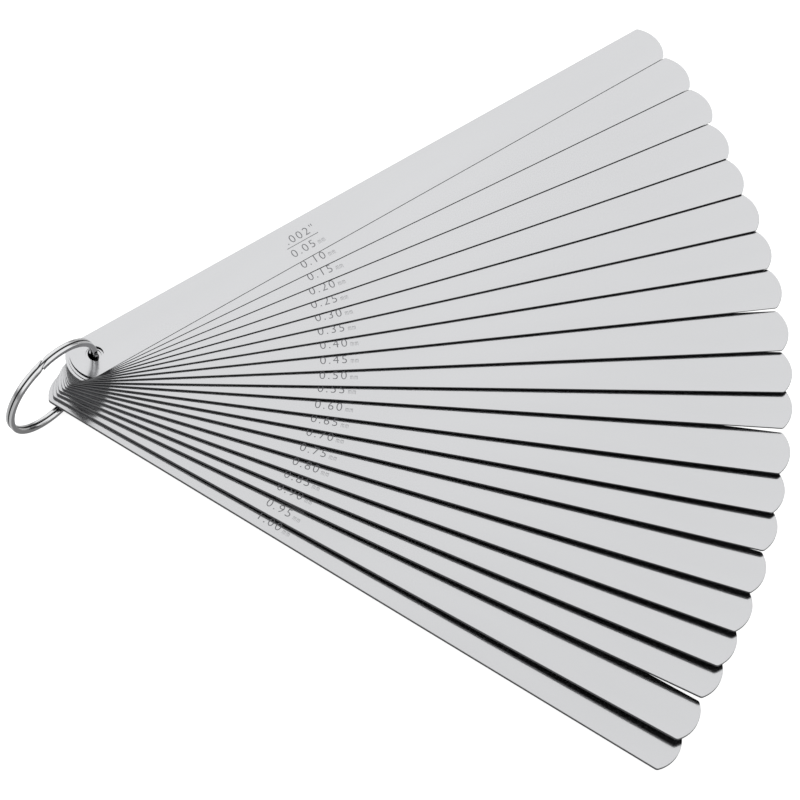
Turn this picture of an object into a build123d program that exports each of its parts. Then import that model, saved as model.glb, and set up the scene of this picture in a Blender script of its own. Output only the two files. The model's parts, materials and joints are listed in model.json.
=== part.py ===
from build123d import *

import os
from math import asin, cos, degrees, pi, radians, sin, sqrt

# Feeler gauge: twenty spring-steel leaves, 0.05 to 1.00 mm thick, spread as a fan on a split ring.
#
# Frame, in millimetres: the origin is the centre of the ring, +Z is up and square to the thickest
# leaf, and +X runs along the middle of the fan. The ring stands upright, in the vertical plane
# that RING_BEARING names, and the leaves are threaded on the side of it that faces the fan.

# Leaves
LEAF_COUNT = 20
THICKNESS_STEP = 0.05
LEAF_LENGTH = 200.0
LEAF_WIDTH = 13.0
END_RADIUS = 9.5
CORNER_RADIUS = 1.2
HOLE_DIAMETER = 5.0
HOLE_INSET = 6.7

# Long edges of the thicker leaves are broken by this much; the thin ones are too thin for it.
EDGE_BREAK = 0.06
THINNEST_BROKEN_EDGE = 0.3

# Split ring: one flat-rolled strand wound twice round, with a jog where it steps across. Its free
# ends lie beside the jog and taper along it, so the outline of the ring stays whole there.
RING_OUTSIDE_DIAMETER = 32.0
STRAND_DEPTH = 1.5
STRAND_THICKNESS = 1.1
STRAND_GAP = 0.1
STRAND_ROUNDING = 0.35
RING_BEARING = 45.0
JOG_START = 94.0
JOG_LENGTH = 18.0
JOG_STEPS = 8
TAPER_STEPS = 5

# Stack: the thickest leaf is lowest and level, and each leaf above tips up a little more
LOWEST_HOLE_ANGLE = -55.5
LEAF_CLEARANCE = 0.12
SPLAY_OF_1_MM_LEAF = 0.65
SPLAY_EXPONENT = 1.5

# Fan: bearing of the thinnest leaf, and the turn from each leaf to the next one below it, in
# degrees. The leaves are spread by hand, so the steps are uneven.
FIRST_BEARING = 33.5
FAN_STEPS = [3.9, 3.9, 3.9, 3.8, 3.8, 3.8, 3.8, 4.0, 3.8, 3.2, 4.0, 3.4, 3.2, 3.6, 3.3, 2.9, 2.5, 3.6, 2.3]

# How far each leaf has slid outwards along its own length, by the play of its hole on the ring
SLIDES = [0.4, 1.0, 1.0, -0.2, -0.9, -0.7, -0.6, -0.3, -0.3, -0.2, -0.2, 0, 0, 0.1, 0.1, 0, -0.3, -0.1, 0, 0]

RING_OUTSIDE_RADIUS = RING_OUTSIDE_DIAMETER / 2
RING_INSIDE_RADIUS = RING_OUTSIDE_RADIUS - STRAND_DEPTH
RING_RADIUS = (RING_OUTSIDE_RADIUS + RING_INSIDE_RADIUS) / 2
END_BULGE = END_RADIUS - sqrt(END_RADIUS**2 - (LEAF_WIDTH / 2) ** 2)

os.makedirs("parts", exist_ok=True)


def leaf_name(thickness):
    """Node name of a leaf, such as leaf_0_05_mm."""
    return f"leaf_{thickness:.2f}_mm".replace(".", "_")


def stack():
    """Thickness, bearing, slide, tilt and height of every leaf, from the thinnest (top) down.

    The heights are of the middle of the leaf where it meets the ring, built up from the lowest leaf.
    """
    thicknesses = [THICKNESS_STEP * (index + 1) for index in range(LEAF_COUNT)]
    bearings = [FIRST_BEARING - sum(FAN_STEPS[:index]) for index in range(LEAF_COUNT)]
    height = RING_RADIUS * sin(radians(LOWEST_HOLE_ANGLE))
    tilt = 0.0
    leaves = [(thicknesses[-1], bearings[-1], SLIDES[-1], tilt, height)]
    for index in reversed(range(LEAF_COUNT - 1)):
        height += thicknesses[index + 1] / 2 + LEAF_CLEARANCE + thicknesses[index] / 2
        tilt += SPLAY_OF_1_MM_LEAF * thicknesses[index] ** SPLAY_EXPONENT
        leaves.insert(0, (thicknesses[index], bearings[index], SLIDES[index], tilt, height))
    return leaves


def leaf_plane(thickness, bearing, slide, tilt, height):
    """Mid-plane of a leaf: origin at its hole, local X along the leaf, local Z its normal.

    Every leaf tips up about the Y direction only, so that neighbours stay clear of each other
    wherever they are swung. The ring slants through the hole. A leaf with no slide has its hole
    centred between the ring's outside at its upper face and the ring's inside at its lower face.
    """
    reach_outside = sqrt(RING_OUTSIDE_RADIUS**2 - (height + thickness / 2) ** 2)
    reach_inside = sqrt(RING_INSIDE_RADIUS**2 - (height - thickness / 2) ** 2)
    reach = (reach_outside + reach_inside) / 2
    ring_side = radians(RING_BEARING)
    on_ring = Vector(reach * cos(ring_side), reach * sin(ring_side), height)
    tip_up = radians(tilt)
    turn = radians(bearing)
    normal = (-sin(tip_up), 0, cos(tip_up))
    along = Vector(cos(turn) * cos(tip_up), sin(turn), cos(turn) * sin(tip_up))
    return Plane(origin=on_ring + along * slide, x_dir=along, z_dir=normal)


# Leaves
near = -HOLE_INSET
far = LEAF_LENGTH - HOLE_INSET
half_width = LEAF_WIDTH / 2

for thickness, bearing, slide, tilt, height in stack():
    middle = leaf_plane(thickness, bearing, slide, tilt, height)
    with BuildPart() as leaf:
        with BuildSketch(middle.offset(-thickness / 2)):
            with BuildLine():
                Line((near + END_BULGE, -half_width), (far - END_BULGE, -half_width))
                ThreePointArc((far - END_BULGE, -half_width), (far, 0), (far - END_BULGE, half_width))
                Line((far - END_BULGE, half_width), (near + END_BULGE, half_width))
                ThreePointArc((near + END_BULGE, half_width), (near, 0), (near + END_BULGE, -half_width))
            outline = make_face()
            fillet(outline.vertices(), CORNER_RADIUS)
            Circle(HOLE_DIAMETER / 2, mode=Mode.SUBTRACT)
        extrude(amount=thickness)
        if thickness >= THINNEST_BROKEN_EDGE:
            broad_faces = leaf.faces().sort_by(SortBy.AREA)[-2:]
            chamfer([face.outer_wire().edges() for face in broad_faces], EDGE_BREAK)
    leaf.part.label = leaf_name(thickness)
    export_step(leaf.part, f"parts/{leaf.part.label}.step")

# Split ring
ring_plane = Plane(
    origin=(0, 0, 0),
    x_dir=(cos(radians(RING_BEARING)), sin(radians(RING_BEARING)), 0),
    z_dir=(sin(radians(RING_BEARING)), -cos(radians(RING_BEARING)), 0),
)
coil_offset = (STRAND_THICKNESS + STRAND_GAP) / 2
jog_end = JOG_START + JOG_LENGTH


def strand_plane(angle, offset):
    """Plane across the strand at an angle round the ring and at an offset along the ring's axis."""
    outward = ring_plane.x_dir * cos(radians(angle)) + ring_plane.y_dir * sin(radians(angle))
    heading = ring_plane.y_dir * cos(radians(angle)) - ring_plane.x_dir * sin(radians(angle))
    centre = outward * RING_RADIUS + ring_plane.z_dir * offset
    return Plane(origin=centre, x_dir=outward, z_dir=heading)


with BuildPart() as split_ring:
    for side in (-1, 1):
        # Coil
        with BuildSketch(strand_plane(jog_end, side * coil_offset)):
            RectangleRounded(STRAND_DEPTH, STRAND_THICKNESS, STRAND_ROUNDING)
        revolve(axis=Axis((0, 0, 0), ring_plane.z_dir), revolution_arc=360 - JOG_LENGTH)
        # Tapered free end of the coil, which keeps the strand's gap from the jog beside it
        for step in range(TAPER_STEPS + 1):
            share = step / JOG_STEPS
            angle = JOG_START + share * JOG_LENGTH if side == 1 else jog_end - share * JOG_LENGTH
            width = coil_offset * (1 + cos(pi * share)) - STRAND_GAP
            offset = coil_offset + (STRAND_THICKNESS - width) / 2
            with BuildSketch(strand_plane(angle, side * offset)):
                RectangleRounded(STRAND_DEPTH, width, STRAND_ROUNDING * width / STRAND_THICKNESS)
        loft()
    # Jog
    for step in range(JOG_STEPS + 1):
        share = step / JOG_STEPS
        with BuildSketch(strand_plane(JOG_START + share * JOG_LENGTH, -coil_offset * cos(pi * share))):
            RectangleRounded(STRAND_DEPTH, STRAND_THICKNESS, STRAND_ROUNDING)
    loft()
split_ring.part.label = "split_ring"
export_step(split_ring.part, "parts/split_ring.step")

# How the stack lies on the ring
for thickness, bearing, slide, tilt, height in stack():
    ring_angle = degrees(asin(height / RING_RADIUS))
    print(f"{leaf_name(thickness)} bearing {bearing:6.1f} tilt {tilt:5.2f} hole on ring at {ring_angle:6.1f}")
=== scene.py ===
import json
from math import cos, radians, sin

import bmesh
import bpy
from mathutils import Matrix, Vector


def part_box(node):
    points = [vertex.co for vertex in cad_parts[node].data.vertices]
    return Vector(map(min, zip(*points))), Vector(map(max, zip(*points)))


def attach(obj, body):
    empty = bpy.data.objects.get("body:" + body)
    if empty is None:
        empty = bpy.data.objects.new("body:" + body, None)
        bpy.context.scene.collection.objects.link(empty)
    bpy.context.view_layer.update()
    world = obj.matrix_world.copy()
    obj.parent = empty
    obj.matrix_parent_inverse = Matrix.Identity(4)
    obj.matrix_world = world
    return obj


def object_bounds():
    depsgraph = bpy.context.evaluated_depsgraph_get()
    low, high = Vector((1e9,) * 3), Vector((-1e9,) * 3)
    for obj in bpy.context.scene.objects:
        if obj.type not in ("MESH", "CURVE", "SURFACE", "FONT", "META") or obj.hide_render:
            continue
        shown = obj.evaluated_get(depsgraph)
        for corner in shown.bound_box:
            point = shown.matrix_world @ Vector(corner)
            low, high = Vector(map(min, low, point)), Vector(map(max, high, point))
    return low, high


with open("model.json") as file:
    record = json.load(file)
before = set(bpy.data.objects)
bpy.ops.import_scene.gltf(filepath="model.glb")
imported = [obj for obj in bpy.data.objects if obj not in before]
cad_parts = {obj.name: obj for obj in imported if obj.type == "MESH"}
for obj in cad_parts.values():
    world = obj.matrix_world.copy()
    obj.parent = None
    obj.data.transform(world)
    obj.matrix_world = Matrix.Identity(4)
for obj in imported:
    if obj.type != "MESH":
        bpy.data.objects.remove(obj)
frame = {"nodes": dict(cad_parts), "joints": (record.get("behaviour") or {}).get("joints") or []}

# Looks of a 20-leaf feeler gauge on a split ring, in metres, in the frame of the CAD model:
# the origin is the ring's centre, +Z is up and +X runs along the middle of the fan.

MM = 0.001

# Camera: it looks down on the middle of the fan, a little turned, through a long lens. The bearing
# and the drop say which way it looks, in degrees; the lens and the sensor are in millimetres.
CAMERA_TARGET = Vector((95.0, -0.7, 0.0)) * MM
CAMERA_DISTANCE = 824 * MM
CAMERA_BEARING = 80.1
CAMERA_DROP = 58.4
CAMERA_ROLL = 10.34
CAMERA_LENS = 135
CAMERA_SENSOR = 36
CLIP_START = 0.01
CLIP_END = 50

# Studio: a bright dome, dimmer near the horizon, with a small dark flag behind the camera. Angles
# are in degrees; the flag fades out between its inner and its outer angle.
DOME_COLOUR = (1.0, 1.0, 1.0)
DOME_STRENGTH = 1.22
HORIZON_SHARE = 0.3
HORIZON_DARK_RISE = 8
HORIZON_LIGHT_RISE = 25
FLAG_RISE = 57
FLAG_STRENGTH = 0.12
FLAG_INNER_ANGLE = 6
FLAG_OUTER_ANGLE = 17

# Floor: lit paper that glows a little, so that shadows on it stay faint. It is greyer in a
# reflection, and black after this many reflections, so the slits between the leaves stay dark.
FLOOR_SIZE = 8.0
FLOOR_COLOUR = (0.5, 0.5, 0.5)
FLOOR_ROUGHNESS = 0.9
FLOOR_GLOW = 0.78
FLOOR_LAST_REFLECTION = 2
FLOOR_GAP = 0.05 * MM

# Leaves: satin faces, and edges in painted shade: side faces and bevels get a dark colour that
# stands in for the shade and dark reflections along them. The upright part of a normal tells the
# two apart, and grain and clouds are sized in cells per metre along, across and through the leaf.
# A shade is a share of the steel's colour: it goes from the first, for a leaf of no thickness, to
# the second at 1 mm, and clouding takes it up and down from there.
LEAF_STEEL = (0.550, 0.553, 0.563)
LEAF_ROUGHNESS = (0.105, 0.205)
THIN_LEAF_SHADE = 1.03
THICK_LEAF_SHADE = 0.96
CLOUDING = 0.03
GRAIN_CELLS = (50, 5000, 5000)
CLOUD_CELLS = (14, 90, 90)
GRAIN_BUMP = 0.1
# Painted shade: this dark colour on the leaves' side faces and bevels stands in for the shade and
# dark reflections along them.
PAINTED_EDGE_SHADE = (0.08, 0.08, 0.083)
EDGE_ROUGHNESS = 0.35
EDGE_TO_FACE = (0.6, 0.95)

# Ring: polished nickel, with painted shade in the groove between its coils and on its flat sides.
# The half widths are from the ring's mid-plane.
RING_STEEL = (0.66, 0.663, 0.67)
# Painted shade in the groove between the coils.
RING_GROOVE_SHADE = (0.04, 0.04, 0.042)
# Painted shade on the ring's flat sides.
RING_SIDE_SHADE = (0.22, 0.22, 0.225)
RING_ROUGHNESS = (0.06, 0.18)
GROOVE_HALF_WIDTH = 0.1 * MM
GROOVE_SHADE_HALF_WIDTH = 0.38 * MM
UNSHADED_HALF_WIDTH = 0.95 * MM
RING_HALF_WIDTH = 1.15 * MM
PATCH_CELLS = (220, 220, 220)
DRAWN_LINE_CELLS = (6000, 1, 1)
DRAWN_LINE_BUMP = 0.25
BUMP_DEPTH = 0.01 * MM

# Marks, on the leaf's upper face: the size in inches over the size in millimetres, with a bar
# between. Starts, baselines and the bar's place are from the middle of the hole, along the leaf and
# across it. The unit's width and the letter spacing are shares of the font's own, and a capital is
# CAP_HEIGHT of the font's size.
DIGIT_HEIGHT = 2.6 * MM
UNIT_HEIGHT = 1.9 * MM
UNIT_WIDTH = 0.5
CAP_HEIGHT = 0.7
LETTER_SPACING = 1.25
STROKE_THINNING = 0.04 * MM
MARK_START = 62.7 * MM
INCH_START = 63.6 * MM
INCH_BASELINE = 0.1 * MM
BAR_LENGTH = 10.4 * MM
BAR_WIDTH = 0.2 * MM
BAR_ACROSS = -0.9 * MM
MM_BASELINE = -4.4 * MM
UNIT_START = 71.2 * MM
MARK_LIFT = 0.004 * MM
MARK_DEPTH = 0.008 * MM
MARK_COLOUR = (0.07, 0.07, 0.075)
WORN_MARK_COLOUR = (0.21, 0.21, 0.225)
MARK_ROUGHNESS = 0.6
WEAR_CELLS = (2500, 2500, 2500)
MM_PER_INCH = 25.4

LEAVES = sorted(name for name in frame["nodes"] if name.startswith("leaf_"))
RING = "split_ring"
cad_low, cad_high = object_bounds()


def direction(bearing, rise):
    """Unit vector at a bearing from +X, in degrees, and so many degrees above the horizon."""
    return Vector((
        cos(radians(rise)) * cos(radians(bearing)),
        cos(radians(rise)) * sin(radians(bearing)),
        sin(radians(rise)),
    ))


def make_camera():
    data = bpy.data.cameras.new("camera")
    data.lens = CAMERA_LENS
    data.sensor_width = CAMERA_SENSOR
    data.clip_start = CLIP_START
    data.clip_end = CLIP_END
    camera = bpy.data.objects.new("camera", data)
    bpy.context.scene.collection.objects.link(camera)
    back = -direction(CAMERA_BEARING, -CAMERA_DROP)
    right = Vector((0, 0, 1)).cross(back).normalized()
    up = back.cross(right)
    turn = radians(CAMERA_ROLL)
    rolled_right = right * cos(turn) + up * sin(turn)
    rolled_up = up * cos(turn) - right * sin(turn)
    axes = Matrix((rolled_right, rolled_up, back)).transposed()
    camera.matrix_world = Matrix.Translation(CAMERA_TARGET + back * CAMERA_DISTANCE) @ axes.to_4x4()
    bpy.context.scene.camera = camera


def node(tree, kind, **values):
    """A new shader node with its settings, given by attribute name."""
    made = tree.nodes.new(kind)
    for name, value in values.items():
        setattr(made, name, value)
    return made


def map_range(tree, value, span, low, high, **values):
    """Output that goes from low to high while the value runs over the span."""
    ramp = node(tree, "ShaderNodeMapRange", **values)
    ramp.inputs["From Min"].default_value = span[0]
    ramp.inputs["From Max"].default_value = span[1]
    ramp.inputs["To Min"].default_value = low
    ramp.inputs["To Max"].default_value = high
    tree.links.new(value, ramp.inputs["Value"])
    return ramp.outputs["Result"]


def make_world():
    """Even white light from above, little from near the horizon and from behind the camera."""
    world = bpy.data.worlds.new("studio")
    bpy.context.scene.world = world
    world.use_nodes = True
    tree = world.node_tree
    tree.nodes.clear()
    place = node(tree, "ShaderNodeTexCoord")
    nearness = node(tree, "ShaderNodeVectorMath", operation="DOT_PRODUCT")
    nearness.inputs[1].default_value = direction(CAMERA_BEARING + 180, FLAG_RISE)
    tree.links.new(place.outputs["Generated"], nearness.inputs[0])
    flag_edge = (cos(radians(FLAG_OUTER_ANGLE)), cos(radians(FLAG_INNER_ANGLE)))
    flag = map_range(
        tree, nearness.outputs["Value"], flag_edge, DOME_STRENGTH, FLAG_STRENGTH,
        interpolation_type="SMOOTHSTEP",
    )
    height = node(tree, "ShaderNodeSeparateXYZ")
    tree.links.new(place.outputs["Generated"], height.inputs[0])
    horizon_edge = (sin(radians(HORIZON_DARK_RISE)), sin(radians(HORIZON_LIGHT_RISE)))
    above = map_range(
        tree, height.outputs["Z"], horizon_edge, HORIZON_SHARE, 1.0, interpolation_type="SMOOTHSTEP"
    )
    strength = node(tree, "ShaderNodeMath", operation="MULTIPLY")
    tree.links.new(flag, strength.inputs[0])
    tree.links.new(above, strength.inputs[1])
    dome = node(tree, "ShaderNodeBackground")
    dome.inputs["Color"].default_value = (*DOME_COLOUR, 1)
    tree.links.new(strength.outputs["Value"], dome.inputs["Strength"])
    out = node(tree, "ShaderNodeOutputWorld")
    tree.links.new(dome.outputs["Background"], out.inputs["Surface"])


def make_floor():
    half = FLOOR_SIZE / 2
    level = cad_low.z - FLOOR_GAP
    corners = [(-half, -half, level), (half, -half, level), (half, half, level), (-half, half, level)]
    mesh = bpy.data.meshes.new("floor")
    mesh.from_pydata(corners, [], [(0, 1, 2, 3)])
    floor = bpy.data.objects.new("floor", mesh)
    bpy.context.scene.collection.objects.link(floor)
    paper = bpy.data.materials.new("floor_paper")
    paper.use_nodes = True
    shader = paper.node_tree.nodes["Principled BSDF"]
    shader.inputs["Base Color"].default_value = (*FLOOR_COLOUR, 1)
    shader.inputs["Roughness"].default_value = FLOOR_ROUGHNESS
    shader.inputs["Specular IOR Level"].default_value = 0.0
    shader.inputs["Emission Color"].default_value = (1, 1, 1, 1)
    shader.inputs["Emission Strength"].default_value = FLOOR_GLOW
    tree = paper.node_tree
    path = node(tree, "ShaderNodeLightPath")
    late = map_range(tree, path.outputs["Glossy Depth"], (0, FLOOR_LAST_REFLECTION), 0.0, 1.0)
    dark = node(tree, "ShaderNodeBsdfDiffuse")
    dark.inputs["Color"].default_value = (0, 0, 0, 1)
    mixed = node(tree, "ShaderNodeMixShader")
    tree.links.new(late, mixed.inputs[0])
    tree.links.new(shader.outputs["BSDF"], mixed.inputs[1])
    tree.links.new(dark.outputs["BSDF"], mixed.inputs[2])
    tree.links.new(mixed.outputs["Shader"], tree.nodes["Material Output"].inputs["Surface"])
    mesh.materials.append(paper)


def leaf_frame(name):
    """Place of a leaf: x along it from its hole, z its upward normal, origin on its upper face."""
    joint = next(j for j in frame["joints"] if j["child"] == name)
    hinge = Vector(joint["pos_m"])
    normal = Vector(joint["axis"]).normalized()
    low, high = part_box(name)
    along = (low + high) / 2 - hinge
    along = (along - normal * along.dot(normal)).normalized()
    side = normal.cross(along)
    axes = Matrix((along, side, normal)).transposed().to_4x4()
    return Matrix.Translation(hinge + normal * leaf_size(name) * MM / 2) @ axes


def leaf_size(name):
    """Thickness of a leaf in millimetres, from its name, such as leaf_0_05_mm."""
    return float(name.removeprefix("leaf_").removesuffix("_mm").replace("_", "."))


def stretched_noise(tree, vector, cells, detail=2.0):
    """Noise over a vector, with so many cells per metre along each axis."""
    scaled = node(tree, "ShaderNodeVectorMath", operation="MULTIPLY")
    scaled.inputs[1].default_value = cells
    texture = node(tree, "ShaderNodeTexNoise")
    texture.inputs["Scale"].default_value = 1.0
    texture.inputs["Detail"].default_value = detail
    tree.links.new(vector, scaled.inputs[0])
    tree.links.new(scaled.outputs["Vector"], texture.inputs["Vector"])
    return texture.outputs["Fac"]


def add_bump(tree, height, strength):
    shader = tree.nodes["Principled BSDF"]
    bump = node(tree, "ShaderNodeBump")
    bump.inputs["Strength"].default_value = strength
    bump.inputs["Distance"].default_value = BUMP_DEPTH
    tree.links.new(height, bump.inputs["Height"])
    tree.links.new(bump.outputs["Normal"], shader.inputs["Normal"])


def leaf_material(name):
    """Cold-rolled spring steel: satin faces with a fine grain along the leaf, edges in painted shade.
    """
    material = bpy.data.materials.new(name + "_steel")
    material.use_nodes = True
    tree = material.node_tree
    shader = tree.nodes["Principled BSDF"]
    shader.inputs["Metallic"].default_value = 1.0
    place = node(tree, "ShaderNodeTexCoord")
    turn = node(tree, "ShaderNodeMapping", vector_type="TEXTURE")
    matrix = leaf_frame(name)
    turn.inputs["Location"].default_value = matrix.to_translation()
    turn.inputs["Rotation"].default_value = matrix.to_euler()
    tree.links.new(place.outputs["Object"], turn.inputs["Vector"])

    grain = stretched_noise(tree, turn.outputs["Vector"], GRAIN_CELLS)
    clouds = stretched_noise(tree, turn.outputs["Vector"], CLOUD_CELLS)

    shade = THIN_LEAF_SHADE + (THICK_LEAF_SHADE - THIN_LEAF_SHADE) * leaf_size(name)
    face = node(tree, "ShaderNodeMix", data_type="RGBA")
    face.inputs["A"].default_value = (*((shade - CLOUDING) * c for c in LEAF_STEEL), 1)
    face.inputs["B"].default_value = (*((shade + CLOUDING) * c for c in LEAF_STEEL), 1)
    tree.links.new(clouds, face.inputs["Factor"])

    normal = node(tree, "ShaderNodeSeparateXYZ")
    tree.links.new(place.outputs["Normal"], normal.inputs[0])
    upright = node(tree, "ShaderNodeMath", operation="ABSOLUTE")
    tree.links.new(normal.outputs["Z"], upright.inputs[0])
    on_face = map_range(tree, upright.outputs["Value"], EDGE_TO_FACE, 0.0, 1.0)

    # Painted shade: faces that stand on edge take the dark edge colour, bevels take part of it.
    with_painted_shade = node(tree, "ShaderNodeMix", data_type="RGBA")
    with_painted_shade.inputs["A"].default_value = (*PAINTED_EDGE_SHADE, 1)
    tree.links.new(on_face, with_painted_shade.inputs["Factor"])
    tree.links.new(face.outputs["Result"], with_painted_shade.inputs["B"])
    tree.links.new(with_painted_shade.outputs["Result"], shader.inputs["Base Color"])

    gloss = map_range(tree, grain, (0.0, 1.0), *LEAF_ROUGHNESS)
    roughness = node(tree, "ShaderNodeMix", data_type="FLOAT")
    roughness.inputs["A"].default_value = EDGE_ROUGHNESS
    tree.links.new(on_face, roughness.inputs["Factor"])
    tree.links.new(gloss, roughness.inputs["B"])
    tree.links.new(roughness.outputs["Result"], shader.inputs["Roughness"])

    add_bump(tree, grain, GRAIN_BUMP)
    return material


def ring_material():
    """Bright nickel plate with fine lines that run round the ring, and painted shade between its
    coils and on its flat sides.
    """
    material = bpy.data.materials.new("ring_nickel")
    material.use_nodes = True
    tree = material.node_tree
    shader = tree.nodes["Principled BSDF"]
    shader.inputs["Metallic"].default_value = 1.0
    place = node(tree, "ShaderNodeTexCoord")

    across = node(tree, "ShaderNodeVectorMath", operation="DOT_PRODUCT")
    across.inputs[1].default_value = ring_axis()
    tree.links.new(place.outputs["Object"], across.inputs[0])
    off_middle = node(tree, "ShaderNodeMath", operation="ABSOLUTE")
    tree.links.new(across.outputs["Value"], off_middle.inputs[0])
    # Painted shade: darker towards the groove between the coils.
    outside_groove_shade = map_range(
        tree, off_middle.outputs["Value"], (GROOVE_HALF_WIDTH, GROOVE_SHADE_HALF_WIDTH), 0.0, 1.0,
        interpolation_type="SMOOTHSTEP",
    )
    # Painted shade: the ring's flat sides are darker in colour.
    in_side_shade = map_range(
        tree, off_middle.outputs["Value"], (UNSHADED_HALF_WIDTH, RING_HALF_WIDTH), 0.0, 1.0,
        interpolation_type="SMOOTHSTEP",
    )
    metal = node(tree, "ShaderNodeMix", data_type="RGBA")
    metal.inputs["A"].default_value = (*RING_STEEL, 1)
    metal.inputs["B"].default_value = (*RING_SIDE_SHADE, 1)
    tree.links.new(in_side_shade, metal.inputs["Factor"])
    with_painted_shade = node(tree, "ShaderNodeMix", data_type="RGBA")
    with_painted_shade.inputs["A"].default_value = (*RING_GROOVE_SHADE, 1)
    tree.links.new(metal.outputs["Result"], with_painted_shade.inputs["B"])
    tree.links.new(outside_groove_shade, with_painted_shade.inputs["Factor"])
    tree.links.new(with_painted_shade.outputs["Result"], shader.inputs["Base Color"])

    patches = stretched_noise(tree, place.outputs["Object"], PATCH_CELLS)
    gloss = map_range(tree, patches, (0.0, 1.0), *RING_ROUGHNESS)
    tree.links.new(gloss, shader.inputs["Roughness"])

    radius = node(tree, "ShaderNodeVectorMath", operation="LENGTH")
    tree.links.new(place.outputs["Object"], radius.inputs[0])
    lines = node(tree, "ShaderNodeCombineXYZ")
    tree.links.new(radius.outputs["Value"], lines.inputs["X"])
    drawn = stretched_noise(tree, lines.outputs["Vector"], DRAWN_LINE_CELLS, detail=3.0)
    add_bump(tree, drawn, DRAWN_LINE_BUMP)
    return material


def ring_axis():
    """Unit vector through the ring's loop, from where it passes through the thickest leaf."""
    hinge = leaf_frame(LEAVES[-1]).to_translation()
    outward = Vector((hinge.x, hinge.y, 0)).normalized()
    return outward.cross(Vector((0, 0, 1)))


def mark_material():
    material = bpy.data.materials.new("etched_mark")
    material.use_nodes = True
    tree = material.node_tree
    shader = tree.nodes["Principled BSDF"]
    place = node(tree, "ShaderNodeTexCoord")
    wear = stretched_noise(tree, place.outputs["Object"], WEAR_CELLS)
    ink = node(tree, "ShaderNodeMix", data_type="RGBA")
    ink.inputs["A"].default_value = (*MARK_COLOUR, 1)
    ink.inputs["B"].default_value = (*WORN_MARK_COLOUR, 1)
    tree.links.new(wear, ink.inputs["Factor"])
    tree.links.new(ink.outputs["Result"], shader.inputs["Base Color"])
    shader.inputs["Roughness"].default_value = MARK_ROUGHNESS
    return material


def add_words(shape, words, height, width, along, across):
    """Adds raised characters to a bmesh, with their left end and their baseline in place.

    The height is that of a capital; the width is a share of the font's own.
    """
    curve = bpy.data.curves.new("words", "FONT")
    curve.body = words
    curve.size = height / CAP_HEIGHT
    curve.extrude = MARK_DEPTH / 2
    curve.offset = -STROKE_THINNING
    curve.space_character = LETTER_SPACING
    text = bpy.data.objects.new("words", curve)
    bpy.context.scene.collection.objects.link(text)
    bpy.context.view_layer.update()
    mesh = bpy.data.meshes.new_from_object(text.evaluated_get(bpy.context.evaluated_depsgraph_get()))
    mesh.transform(Matrix.Translation((along, across, 0)) @ Matrix.Diagonal((width, 1, 1, 1)))
    shape.from_mesh(mesh)
    bpy.data.meshes.remove(mesh)
    bpy.data.objects.remove(text)


def make_mark(name, ink):
    """The leaf's size in inches over its size in millimetres, read from the ring outwards."""
    size = leaf_size(name)
    inches = f"{size / MM_PER_INCH:.3f}".lstrip("0")
    shape = bmesh.new()
    add_words(shape, inches + '"', DIGIT_HEIGHT, 1, INCH_START, INCH_BASELINE)
    add_words(shape, f"{size:.2f}", DIGIT_HEIGHT, 1, MARK_START, MM_BASELINE)
    add_words(shape, "mm", UNIT_HEIGHT, UNIT_WIDTH, UNIT_START, MM_BASELINE)
    bar_middle = Matrix.Translation((MARK_START + BAR_LENGTH / 2, BAR_ACROSS, 0))
    bar_size = Matrix.Diagonal((BAR_LENGTH, BAR_WIDTH, MARK_DEPTH, 1))
    bmesh.ops.create_cube(shape, size=1, matrix=bar_middle @ bar_size)
    mesh = bpy.data.meshes.new(name + "_mark")
    shape.to_mesh(mesh)
    shape.free()
    mesh.materials.append(ink)
    mark = bpy.data.objects.new(name + "_mark", mesh)
    bpy.context.scene.collection.objects.link(mark)
    mark.matrix_world = leaf_frame(name) @ Matrix.Translation((0, 0, MARK_LIFT))
    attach(mark, name)


make_camera()
make_world()
make_floor()
bpy.context.scene.view_settings.view_transform = "Standard"

for name in LEAVES:
    frame["nodes"][name].material_slots[0].material = leaf_material(name)
frame["nodes"][RING].material_slots[0].material = ring_material()

ink = mark_material()
for name in LEAVES:
    make_mark(name, ink)
